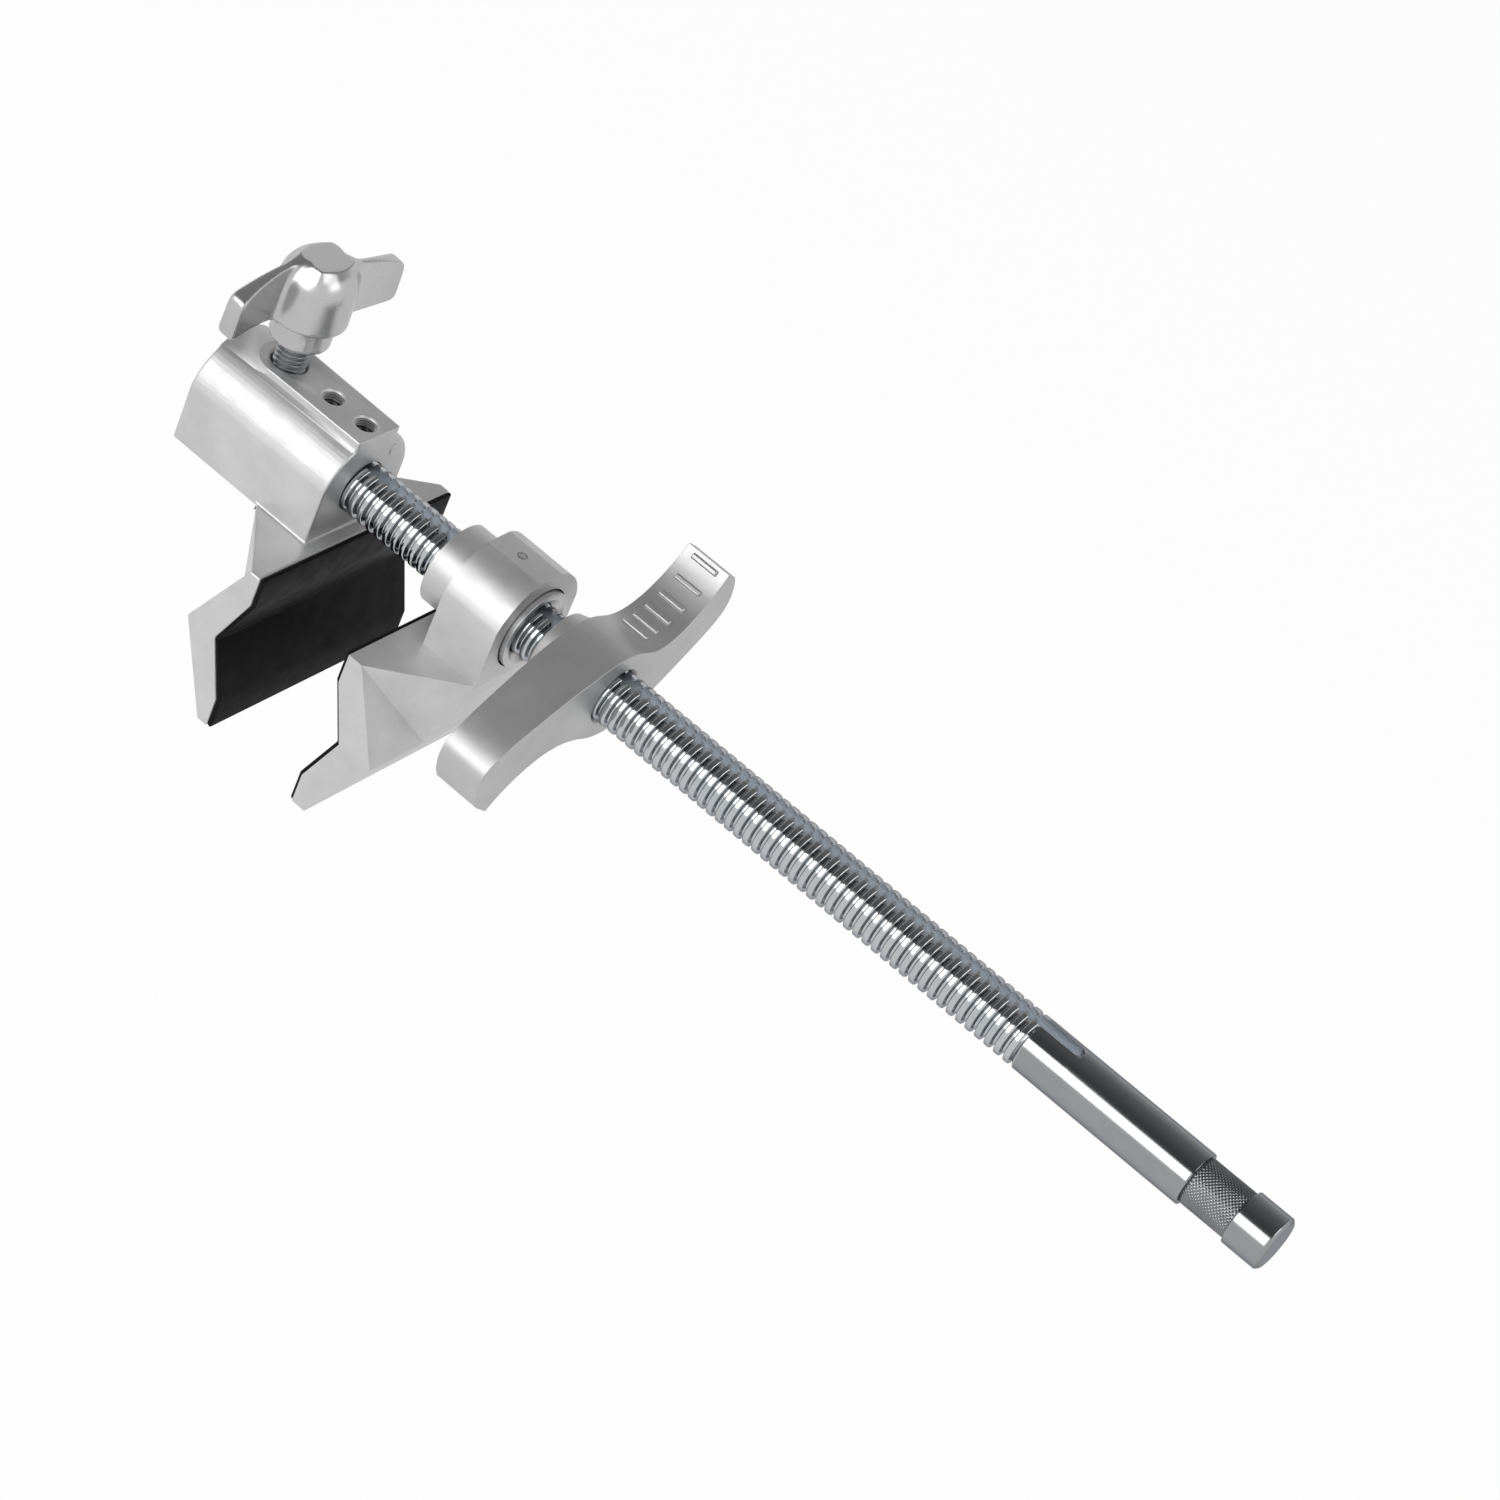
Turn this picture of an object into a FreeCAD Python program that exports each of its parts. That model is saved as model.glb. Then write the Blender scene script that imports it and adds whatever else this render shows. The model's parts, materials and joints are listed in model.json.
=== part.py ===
import FreeCAD, Part
import math
import os

from FreeCAD import Vector

# Screw jaw clamp with a plain mounting pin. All sizes in mm.
# X runs along the rod from the fixed jaw to the pin, Z points up to the lock knob.
# The origin is the centre of the collar at the pin's free end.

# Rod and pin
rod_r = 7.9375
pin_collar_len = 11.2
pin_end_x = pin_collar_len / 2
pin_chamfer = 0.9
pin_neck_r = 6.8
pin_neck_len = 14.4
rod_len = 341.0
keyway_w = 4.0
keyway_depth = 2.0
keyway_from_end = 66.3
thread_from_end = 79.2
thread_pitch = 3.175
thread_relief = 1.2

# Jaw plates, the same casting profile on both jaws
jaw_w = 78.5
notch_half = 16.9
land_h = 9.6
notch_depth = 7.0
fixed_tip_t = 3.5
moving_tip_t = 4.6
back_v = 13.8
jaw_mid_z = -40.2
web_ridge_out = 0.3
pad_t = 1.2
pad_end_gap = 0.5

# Fixed jaw, seated on the rod's far end
rod_seat_len = 23.8
fixed_front_back = 4.3
fixed_barrel_len = 50.3
barrel_r = 17.2
barrel_side_inset = 0.3
barrel_bottom = -14.6
fixed_web_back = 22.6
boss_w = 17.0
boss_top = 17.9
lock_x_back = 34.0
screw_x_back = (5.2, 17.3)
spigot_bore_r = 8.2
rod_seat_clear = 0.02

# Rod set screws
set_screw_r = 3.0
set_screw_len = 5.0
set_screw_sink = 3.2
set_point_r = 1.7
hex_socket_af = 3.0
hex_socket_depth = 2.5
set_hole_clear = 0.04
hole_chamfer = 0.6

# Moving jaw, as it stands open in the rest pose
jaw_opening = 33.0
moving_front_back = 6.9
moving_barrel_len = 19.0
moving_barrel_extra = 0.3
moving_flat_cut = 0.6
collar_r = 12.5
collar_len = 9.6
slide_clear = 0.08
counter_r = 12.7
counter_depth = 4.0
ring_clear = 0.5
ring_proud = 1.7
ring_inner_face_r = 10.4
ring_bevel = 2.0
key_pin_r = 1.5
key_pin_gap = 0.35

# Wing nut
nut_from_ring = 6.8
nut_boss_len = 5.0
nut_boss_r = 11.0
nut_boss_root_r = 12.6
nut_len = 16.5
nut_wing_relief = 2.4
nut_relief_from = 13.0
wing_reach = 47.0
wing_rise = 24.6
nut_clear = 0.06
nut_edge = 0.8

# Lock knob, its stud and the shoe under it
stud_r = 5.0
stud_clear = 0.04
stud_in_knob = 15.0
knob_bottom_z = 26.4
knob_collar_r = 8.6
knob_collar_h = 7.8
knob_bell_r = 11.2
knob_top_r = 5.7
knob_top_z = 53.0
knob_wing_reach = 29.6
knob_wing_t = 5.2
knob_turn = 9.0
shoe_r = 4.0
shoe_len = 2.4
shoe_gap = 0.1
shoe_end_play = 0.05


def x_at(from_end):
    return pin_end_x - from_end


def box(x0, x1, y0, y1, z0, z1):
    return Part.makeBox(x1 - x0, y1 - y0, z1 - z0, Vector(x0, y0, z0))


def rod_cyl(r, x0, x1):
    return Part.makeCylinder(r, x1 - x0, Vector(x0, 0, 0), Vector(1, 0, 0))


def post(r, x, z0, z1):
    return Part.makeCylinder(r, z1 - z0, Vector(x, 0, z0), Vector(0, 0, 1))


def post_cone(r0, r1, x, z0, z1):
    return Part.makeCone(r0, r1, z1 - z0, Vector(x, 0, z0), Vector(0, 0, 1))


def face_of(points):
    return Part.Face(Part.makePolygon(points + [points[0]]))


def clean(shape):
    solid = shape.removeSplitter()
    if solid.ShapeType != "Solid" and len(solid.Solids) == 1:
        solid = solid.Solids[0]
    return solid


rod_end_x = x_at(rod_len)
front_fixed = rod_end_x + rod_seat_len
lip_fixed = front_fixed + fixed_front_back
lip_moving = lip_fixed + jaw_opening
rear_fixed = front_fixed - fixed_barrel_len
lock_x = front_fixed - lock_x_back
barrel_half_w = barrel_r - barrel_side_inset
web_ridge_half = barrel_half_w + web_ridge_out
moving_barrel_r = barrel_r + moving_barrel_extra
moving_flat_z = moving_barrel_r - moving_flat_cut
front_moving = lip_moving + moving_front_back
rear_moving = front_moving + moving_barrel_len
ring_face_x = rear_moving + ring_proud
nut_boss_x = ring_face_x + nut_from_ring
nut_x0 = nut_boss_x + nut_boss_len
nut_x1 = nut_x0 + nut_len
jaw_top = jaw_mid_z + notch_half + land_h
jaw_bottom = jaw_mid_z - notch_half - land_h
key_floor = rod_r - keyway_depth


# V front of a jaw, as X offsets from the lip against Z, top to bottom
def v_line(lip, side, extra):
    return [
        (lip - side * extra, jaw_top),
        (lip - side * extra, jaw_mid_z + notch_half),
        (lip + side * (notch_depth - extra), jaw_mid_z),
        (lip - side * extra, jaw_mid_z - notch_half),
        (lip - side * extra, jaw_bottom),
    ]


# Wide jaw plate with a V in front and a V behind. side is +1 or -1, the way it backs
def jaw_plate(lip, side, tip_t):
    back = [
        (lip + side * tip_t, jaw_bottom),
        (lip + side * (tip_t + back_v), jaw_mid_z),
        (lip + side * tip_t, jaw_top),
    ]
    outline = v_line(lip, side, 0.0) + back
    face = face_of([Vector(x, -jaw_w / 2, z) for x, z in outline])
    return face.extrude(Vector(0, jaw_w, 0))


# Sloping web that carries the plate on the barrel
def jaw_web(lip, side, tip_t, web_x):
    tip_x = lip + side * tip_t
    ridge_x = lip + side * (tip_t + back_v)
    half = jaw_w / 2
    a0 = Vector(tip_x, -half, jaw_top)
    a1 = Vector(tip_x, half, jaw_top)
    b0 = Vector(web_x, -barrel_half_w, jaw_top)
    b1 = Vector(web_x, barrel_half_w, jaw_top)
    h0 = Vector(ridge_x, -web_ridge_half, jaw_mid_z)
    h1 = Vector(ridge_x, web_ridge_half, jaw_mid_z)
    sides = [[a0, a1, b1, b0], [b0, b1, h1, h0], [a0, h0, h1, a1], [a0, b0, h0], [a1, h1, b1]]
    shell = Part.makeShell([face_of(s) for s in sides])
    solid = Part.makeSolid(shell)
    if solid.Volume < 0:
        solid.reverse()
    return solid


# Barrel of inverted U section, flat on top where flat_z cuts the arch
def barrel(x0, x1, r, flat_z):
    round_part = rod_cyl(r, x0, x1)
    sides = box(x0, x1, -barrel_half_w, barrel_half_w, barrel_bottom, r)
    arch = round_part.common(box(x0, x1, -barrel_half_w, barrel_half_w, 0.0, flat_z))
    drop = math.sqrt(r * r - barrel_half_w * barrel_half_w)
    lower = sides.common(box(x0, x1, -r, r, barrel_bottom, drop))
    return arch.fuse(lower)


def fixed_jaw():
    body = barrel(rear_fixed, front_fixed, barrel_r, barrel_r)
    half = boss_w / 2
    rail = box(lock_x, front_fixed, -half, half, 0.0, boss_top)
    rail = rail.fuse(post(half, lock_x, 0.0, boss_top))
    body = body.fuse(rail)
    body = body.fuse(jaw_plate(lip_fixed, -1, fixed_tip_t))
    body = body.fuse(jaw_web(lip_fixed, -1, fixed_tip_t, lip_fixed - fixed_web_back))
    body = body.cut(rod_cyl(spigot_bore_r, rear_fixed - 1, rod_end_x))
    body = body.cut(rod_cyl(rod_r + rod_seat_clear, rod_end_x - 0.1, front_fixed + 1))
    body = body.cut(post(stud_r + stud_clear, lock_x, 0.0, boss_top + 1))
    body = body.cut(post_cone(stud_r, stud_r + 1.0, lock_x, boss_top - 0.9, boss_top + 0.1))
    for back in screw_x_back:
        x = front_fixed - back
        r = set_screw_r + set_hole_clear
        body = body.cut(post(r, x, 0.0, boss_top + 1))
        body = body.cut(post_cone(r, r + hole_chamfer + 0.1, x, boss_top - hole_chamfer, boss_top + 0.1))
    return clean(body)


# Rubber lining on a jaw's V, as thick along X all over
def jaw_pad(lip, side):
    inner = v_line(lip, side, 0.0)
    outer = v_line(lip, side, pad_t)
    outline = inner + outer[::-1]
    half = jaw_w / 2 - pad_end_gap
    face = face_of([Vector(x, -half, z) for x, z in outline])
    return face.extrude(Vector(0, 2 * half, 0))


# Outline of the thread as one ring groove a turn. Turns that the moving jaw and the wing nut cover
# in the rest pose, and those clamped in the fixed jaw, stay plain to keep the faces few
def thread_points():
    end = x_at(thread_from_end)
    open_spans = [(front_fixed, front_moving - collar_len), (nut_x1, end)]
    points = []
    for turn in range(int((end - front_fixed) / thread_pitch), 0, -1):
        x0 = end - turn * thread_pitch
        x1 = x0 + thread_pitch
        if not any(a <= x0 and x1 <= b for a, b in open_spans):
            continue
        if not points or points[-1][0] < x0 - 0.001:
            points.append((x0, rod_r))
        points.append((x0 + thread_pitch / 2, rod_r - thread_relief))
        points.append((x1, rod_r))
    return points


def rod_blank():
    tail = [(rod_end_x, 0.0), (rod_end_x, rod_r)]
    tip = [(pin_end_x, rod_r), (pin_end_x, 0.0)]
    outline = tail + thread_points() + tip
    face = face_of([Vector(x, 0, r) for x, r in outline])
    return face.revolve(Vector(0, 0, 0), Vector(1, 0, 0), 360)


def rod():
    body = rod_blank()
    c = pin_chamfer
    tip = Part.makeCone(rod_r, rod_r - c, c, Vector(pin_end_x - c, 0, 0), Vector(1, 0, 0))
    body = body.cut(rod_cyl(rod_r + 1, pin_end_x - c, pin_end_x + 1)).fuse(tip)
    tail = Part.makeCone(rod_r - c, rod_r, c, Vector(rod_end_x, 0, 0), Vector(1, 0, 0))
    body = body.cut(rod_cyl(rod_r + 1, rod_end_x - 1, rod_end_x + c)).fuse(tail)
    neck1 = pin_end_x - pin_collar_len
    neck0 = neck1 - pin_neck_len
    groove = rod_cyl(rod_r + 1, neck0, neck1).cut(rod_cyl(pin_neck_r, neck0, neck1))
    body = body.cut(groove)
    slot_end = x_at(keyway_from_end) - keyway_w / 2
    half = keyway_w / 2
    slot = box(rod_end_x - 1, slot_end, -half, half, key_floor, rod_r + 1)
    slot = slot.fuse(post(half, slot_end, key_floor, rod_r + 1))
    return clean(body.cut(slot))


# One headless screw with a hexagon socket and a dog point in the rod's keyway
def set_screw(x):
    top = boss_top - set_screw_sink
    low = top - set_screw_len
    body = post(set_screw_r, x, low, top)
    body = body.fuse(post(set_point_r, x, key_floor, low))
    r = hex_socket_af / math.sqrt(3.0)
    ring = []
    for i in range(6):
        a = math.radians(60 * i)
        ring.append(Vector(x + r * math.cos(a), r * math.sin(a), top - hex_socket_depth))
    socket = face_of(ring).extrude(Vector(0, 0, hex_socket_depth + 1))
    return clean(body.cut(socket))


def set_screws():
    return Part.makeCompound([set_screw(front_fixed - back) for back in screw_x_back])


def moving_jaw():
    body = barrel(front_moving, rear_moving, moving_barrel_r, moving_flat_z)
    body = body.fuse(rod_cyl(collar_r, front_moving - collar_len, front_moving + 1))
    body = body.fuse(jaw_plate(lip_moving, 1, moving_tip_t))
    body = body.fuse(jaw_web(lip_moving, 1, moving_tip_t, rear_moving))
    body = body.cut(rod_cyl(rod_r + slide_clear, front_moving - collar_len - 1, rear_moving + 1))
    body = body.cut(rod_cyl(counter_r, rear_moving - counter_depth, rear_moving + 1))
    body = body.cut(post(key_pin_r, key_pin_x(), 0.0, moving_flat_z + 1))
    return clean(body)


def key_pin_x():
    return (front_moving + rear_moving - counter_depth) / 2 + 1.0


# Pin that rides in the rod's keyway and keeps the moving jaw upright
def key_pin():
    return post(key_pin_r, key_pin_x(), key_floor + key_pin_gap, moving_flat_z)


# Thrust ring the wing nut bears on, with an inner bevel
def thrust_ring():
    x0 = rear_moving - counter_depth
    x1 = ring_face_x
    bore = rod_r + slide_clear
    body = rod_cyl(counter_r - ring_clear, x0, x1).cut(rod_cyl(bore, x0 - 1, x1 + 1))
    at = Vector(x1 - ring_bevel, 0, 0)
    bevel = Part.makeCone(bore, ring_inner_face_r, ring_bevel, at, Vector(1, 0, 0))
    return clean(body.cut(bevel))


# Half of the wing nut's outline in Y and Z, from the left tip over the hub to the right tip
def wing_outline():
    r = wing_reach
    h = wing_rise
    return [
        (-0.935 * r, -0.874 * h),
        (-1.000 * r, -0.610 * h),
        (-0.998 * r, -0.366 * h),
        (-0.914 * r, -0.171 * h),
        (-0.756 * r, 0.024 * h),
        (-0.588 * r, 0.203 * h),
        (-0.378 * r, 0.398 * h),
        (-0.189 * r, 0.524 * h),
        (0.000 * r, 0.561 * h),
        (0.126 * r, 0.512 * h),
        (0.231 * r, 0.439 * h),
        (0.336 * r, 0.402 * h),
        (0.462 * r, 0.427 * h),
        (0.588 * r, 0.528 * h),
        (0.693 * r, 0.675 * h),
        (0.777 * r, 0.837 * h),
        (0.836 * r, 1.000 * h),
    ]


# S shaped wing nut, the same after half a turn about the rod
def wing_nut():
    upper = [Vector(nut_x0, y, z) for y, z in wing_outline()]
    lower = [Vector(nut_x0, -y, -z) for y, z in wing_outline()]
    top = Part.BSplineCurve()
    top.interpolate(upper)
    bottom = Part.BSplineCurve()
    bottom.interpolate(lower)
    edges = [
        top.toShape(),
        Part.makeLine(upper[-1], lower[0]),
        bottom.toShape(),
        Part.makeLine(lower[-1], upper[0]),
    ]
    body = Part.Face(Part.Wire(edges)).extrude(Vector(nut_len, 0, 0))
    for side in (1, -1):
        far = wing_reach + 2
        slope = nut_wing_relief * (far - nut_relief_from) / (wing_reach - nut_relief_from)
        wedge = face_of([
            Vector(nut_x1, side * nut_relief_from, -60),
            Vector(nut_x1 - slope, side * far, -60),
            Vector(nut_x1 + 1, side * far, -60),
            Vector(nut_x1 + 1, side * nut_relief_from, -60),
        ])
        body = body.cut(wedge.extrude(Vector(0, 0, 120)))
    at = Vector(nut_boss_x, 0, 0)
    boss = Part.makeCone(nut_boss_r, nut_boss_root_r, nut_boss_len + 0.5, at, Vector(1, 0, 0))
    body = body.fuse(boss)
    bore = rod_r + nut_clear
    body = body.cut(rod_cyl(bore, nut_boss_x - 1, nut_x1 + 1))
    at = Vector(nut_x1 - nut_edge, 0, 0)
    body = body.cut(Part.makeCone(bore, bore + nut_edge + 0.1, nut_edge + 0.1, at, Vector(1, 0, 0)))
    return clean(body)


# One wing of the lock knob, in its own plane before it is turned
def knob_wing(sign):
    r = knob_wing_reach
    z0 = knob_bottom_z + 0.28 * (knob_top_z - knob_bottom_z)
    z1 = knob_top_z
    h = z1 - z0
    shape = [
        (0.0, z0 + 0.02 * h),
        (0.96 * r, z0),
        (1.00 * r, z0 + 0.06 * h),
        (0.98 * r, z0 + 0.54 * h),
        (0.94 * r, z0 + 0.64 * h),
        (0.68 * r, z0 + 0.78 * h),
        (0.40 * r, z0 + 0.88 * h),
        (0.0, z0 + 0.97 * h),
    ]
    x0 = lock_x - knob_wing_t / 2
    face = face_of([Vector(x0, sign * y, z) for y, z in shape])
    return face.extrude(Vector(knob_wing_t, 0, 0))


def lock_knob():
    z0 = knob_bottom_z
    z1 = z0 + knob_collar_h
    h = knob_top_z - z1
    c = 0.8
    side = [
        (0.0, z0),
        (knob_collar_r - c, z0),
        (knob_collar_r, z0 + c),
        (knob_collar_r, z1),
        (knob_bell_r - 1.0, z1),
        (knob_bell_r, z1 + 0.06 * h),
        (0.97 * knob_bell_r, z1 + 0.36 * h),
        (0.95 * knob_bell_r, z1 + 0.58 * h),
        (0.91 * knob_bell_r, z1 + 0.69 * h),
        (0.85 * knob_bell_r, z1 + 0.79 * h),
        (0.76 * knob_bell_r, z1 + 0.89 * h),
        (0.63 * knob_bell_r, z1 + 0.96 * h),
        (knob_top_r, knob_top_z),
        (0.0, knob_top_z),
    ]
    face = face_of([Vector(lock_x + r, 0, z) for r, z in side])
    body = face.revolve(Vector(lock_x, 0, 0), Vector(0, 0, 1), 360)
    for sign in (1, -1):
        body = body.fuse(knob_wing(sign))
    body = body.cut(post(stud_r, lock_x, z0 - 1, z0 + stud_in_knob))
    body = clean(body)
    body.rotate(Vector(lock_x, 0, 0), Vector(0, 0, 1), -knob_turn)
    return body


def stud_low():
    return spigot_bore_r + shoe_gap + shoe_len + shoe_end_play


# Threaded stud, fast in the knob
def lock_stud():
    low = stud_low()
    c = 0.6
    body = post(stud_r, lock_x, low + c, knob_bottom_z + stud_in_knob)
    return clean(body.fuse(post_cone(stud_r - c, stud_r, lock_x, low, low + c)))


# Soft shoe that the stud's end turns on and that grips the spigot
def lock_shoe():
    low = spigot_bore_r + shoe_gap
    c = 0.5
    body = post(shoe_r, lock_x, low + c, low + shoe_len)
    return clean(body.fuse(post_cone(shoe_r - c, shoe_r, lock_x, low, low + c)))


def main():
    os.makedirs("parts", exist_ok=True)
    nodes = {
        "fixed_jaw": fixed_jaw(),
        "fixed_jaw_pad": jaw_pad(lip_fixed, -1),
        "threaded_rod": rod(),
        "set_screws": set_screws(),
        "moving_jaw": moving_jaw(),
        "moving_jaw_pad": jaw_pad(lip_moving, 1),
        "key_pin": key_pin(),
        "thrust_ring": thrust_ring(),
        "wing_nut": wing_nut(),
        "lock_knob": lock_knob(),
        "lock_stud": lock_stud(),
        "lock_shoe": lock_shoe(),
    }
    for name, shape in nodes.items():
        shape.exportStep("parts/" + name + ".step")
        b = shape.BoundBox
        print(name, shape.ShapeType, len(shape.Solids), shape.isValid(), round(shape.Volume, 1),
              [round(v, 2) for v in (b.XMin, b.XMax, b.YMin, b.YMax, b.ZMin, b.ZMax)])


main()
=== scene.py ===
import json
import math

import bmesh
import bpy
import numpy as np
from mathutils import Matrix, Vector
from mathutils.bvhtree import BVHTree

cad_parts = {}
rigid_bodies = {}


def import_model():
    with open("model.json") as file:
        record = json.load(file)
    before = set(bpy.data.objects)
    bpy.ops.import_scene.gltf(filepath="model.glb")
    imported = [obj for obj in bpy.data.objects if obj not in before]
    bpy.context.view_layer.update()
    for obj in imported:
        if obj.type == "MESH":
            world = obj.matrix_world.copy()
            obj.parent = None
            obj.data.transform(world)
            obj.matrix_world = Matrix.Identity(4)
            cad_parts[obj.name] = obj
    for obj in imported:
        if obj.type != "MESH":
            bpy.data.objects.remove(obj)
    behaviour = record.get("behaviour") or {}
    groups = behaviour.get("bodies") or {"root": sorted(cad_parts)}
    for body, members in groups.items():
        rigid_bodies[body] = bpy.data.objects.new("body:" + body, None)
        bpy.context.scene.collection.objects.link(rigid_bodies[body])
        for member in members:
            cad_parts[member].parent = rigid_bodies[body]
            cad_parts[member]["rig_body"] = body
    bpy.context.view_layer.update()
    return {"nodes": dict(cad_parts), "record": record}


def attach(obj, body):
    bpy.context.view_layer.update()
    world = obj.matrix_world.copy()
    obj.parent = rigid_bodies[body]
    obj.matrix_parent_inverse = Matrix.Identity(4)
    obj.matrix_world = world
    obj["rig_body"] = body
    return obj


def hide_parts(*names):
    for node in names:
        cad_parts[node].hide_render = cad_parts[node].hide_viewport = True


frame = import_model()
NODES = frame["nodes"]
MM = 0.001


# Materials

def new_material(name):
    m = bpy.data.materials.new(name)
    m.use_nodes = True
    nt = m.node_tree
    return m, nt, nt.nodes["Principled BSDF"]


def add(nt, kind, **values):
    n = nt.nodes.new(kind)
    for k, v in values.items():
        setattr(n, k, v)
    return n


def object_noise(nt, scale, detail=3.0, rough=0.55, stretch=(1, 1, 1)):
    co = add(nt, "ShaderNodeTexCoord")
    mp = add(nt, "ShaderNodeMapping")
    mp.inputs["Scale"].default_value = stretch
    nt.links.new(co.outputs["Object"], mp.inputs["Vector"])
    n = add(nt, "ShaderNodeTexNoise")
    n.inputs["Scale"].default_value = scale
    n.inputs["Detail"].default_value = detail
    n.inputs["Roughness"].default_value = rough
    nt.links.new(mp.outputs["Vector"], n.inputs["Vector"])
    return n.outputs["Fac"]


def ramp(nt, fac, stops):
    r = add(nt, "ShaderNodeValToRGB")
    els = r.color_ramp.elements
    els[0].position, els[1].position = stops[0][0], stops[-1][0]
    for p, _ in stops[1:-1]:
        els.new(p)
    for e, (p, c) in zip(els, stops):
        e.position = p
        e.color = (c[0], c[1], c[2], 1) if isinstance(c, tuple) else (c, c, c, 1)
    nt.links.new(fac, r.inputs["Fac"])
    return r.outputs["Color"]


def bump(nt, height, strength, distance, normal=None):
    b = add(nt, "ShaderNodeBump")
    b.inputs["Strength"].default_value = strength
    b.inputs["Distance"].default_value = distance
    nt.links.new(height, b.inputs["Height"])
    if normal is not None:
        nt.links.new(normal, b.inputs["Normal"])
    return b.outputs["Normal"]


# Colour of a plated surface seen at a grazing angle
EDGE_TINT = (0.42, 0.43, 0.46, 1)


CAST_EDGE_TINT = (0.85, 0.85, 0.85, 1)
PIT_SCALE = 260
PIT_RAMP = [(0.03, 0.0), (0.10, 1.0)]


# Cast light alloy: soft grain, faint blotches and small pits
def cast_metal(name, tone, rough, grain, pits, metallic=0.9):
    m, nt, bsdf = new_material(name)
    bsdf.inputs["Specular Tint"].default_value = CAST_EDGE_TINT
    blot = object_noise(nt, scale=55, detail=4, rough=0.6)
    fine = object_noise(nt, scale=1500, detail=2, rough=0.5)
    col = ramp(nt, blot, [(0.35, tone[0]), (0.65, tone[1])])
    nt.links.new(col, bsdf.inputs["Base Color"])
    patches = object_noise(nt, scale=160, detail=3, rough=0.6)
    nt.links.new(ramp(nt, patches, [(0.3, rough[0]), (0.75, rough[1])]), bsdf.inputs["Roughness"])
    pit = add(nt, "ShaderNodeTexVoronoi")
    pit.inputs["Scale"].default_value = PIT_SCALE
    co = add(nt, "ShaderNodeTexCoord")
    nt.links.new(co.outputs["Object"], pit.inputs["Vector"])
    dots = ramp(nt, pit.outputs["Distance"], PIT_RAMP)
    pitted = bump(nt, dots, strength=pits, distance=0.00006)
    grained = bump(nt, fine, strength=grain, distance=0.00008, normal=pitted)
    nt.links.new(grained, bsdf.inputs["Normal"])
    bsdf.inputs["Metallic"].default_value = metallic
    return m


def plated_steel(name, tone, rough):
    m, nt, bsdf = new_material(name)
    bsdf.inputs["Specular Tint"].default_value = EDGE_TINT
    col = ramp(nt, object_noise(nt, scale=90, detail=4, rough=0.6), [(0.3, tone[0]), (0.7, tone[1])])
    nt.links.new(col, bsdf.inputs["Base Color"])
    drawn = object_noise(nt, scale=300, detail=3, rough=0.6, stretch=(0.12, 1, 1))
    nt.links.new(ramp(nt, drawn, [(0.3, rough[0]), (0.8, rough[1])]), bsdf.inputs["Roughness"])
    fine = object_noise(nt, scale=900, detail=3, rough=0.6)
    nt.links.new(bump(nt, fine, strength=0.08, distance=0.00005), bsdf.inputs["Normal"])
    bsdf.inputs["Metallic"].default_value = 1.0
    return m


def object_axes(nt):
    co = add(nt, "ShaderNodeTexCoord")
    axes = add(nt, "ShaderNodeSeparateXYZ")
    nt.links.new(co.outputs["Object"], axes.inputs[0])
    return axes.outputs


def math_node(nt, operation, a, b):
    n = add(nt, "ShaderNodeMath", operation=operation)
    for k, v in enumerate((a, b)):
        if isinstance(v, (int, float)):
            n.inputs[k].default_value = v
        else:
            nt.links.new(v, n.inputs[k])
    return n.outputs[0]


def mixed(nt, fac, a, b):
    n = add(nt, "ShaderNodeMixRGB")
    nt.links.new(fac, n.inputs["Fac"])
    for k, v in (("Color1", a), ("Color2", b)):
        if isinstance(v, tuple):
            n.inputs[k].default_value = v
        else:
            nt.links.new(v, n.inputs[k])
    return n.outputs["Color"]


# Plating in its stretches along X: lock stud, rolled thread, shank, knurled neck, collar, end face.
# The milled keyway is rougher, and its bluish grey, darker than the rolled thread it cuts through, is painted
# shade in the slot
ROD_SPAN = (-352.0, 10.0)
ROD_TONES = ((-352.0, 0.38), (-340.0, 0.50), (-73.6, 0.31), (-20.0, 0.22), (-5.6, 0.31), (5.3, 0.42))
ROD_GREEN = 1.02
ROD_BLUE = 1.04
KEY_PAINTED_SHADE = (0.42, 0.45, 0.48, 1)
KEY_ROUGH = (0.40, 0.40, 0.40, 1)
KEY_TONE_HALF = 2.02
KEY_TONE_END_X = -60.6
KEY_TONE_TOP = 8.0


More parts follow.
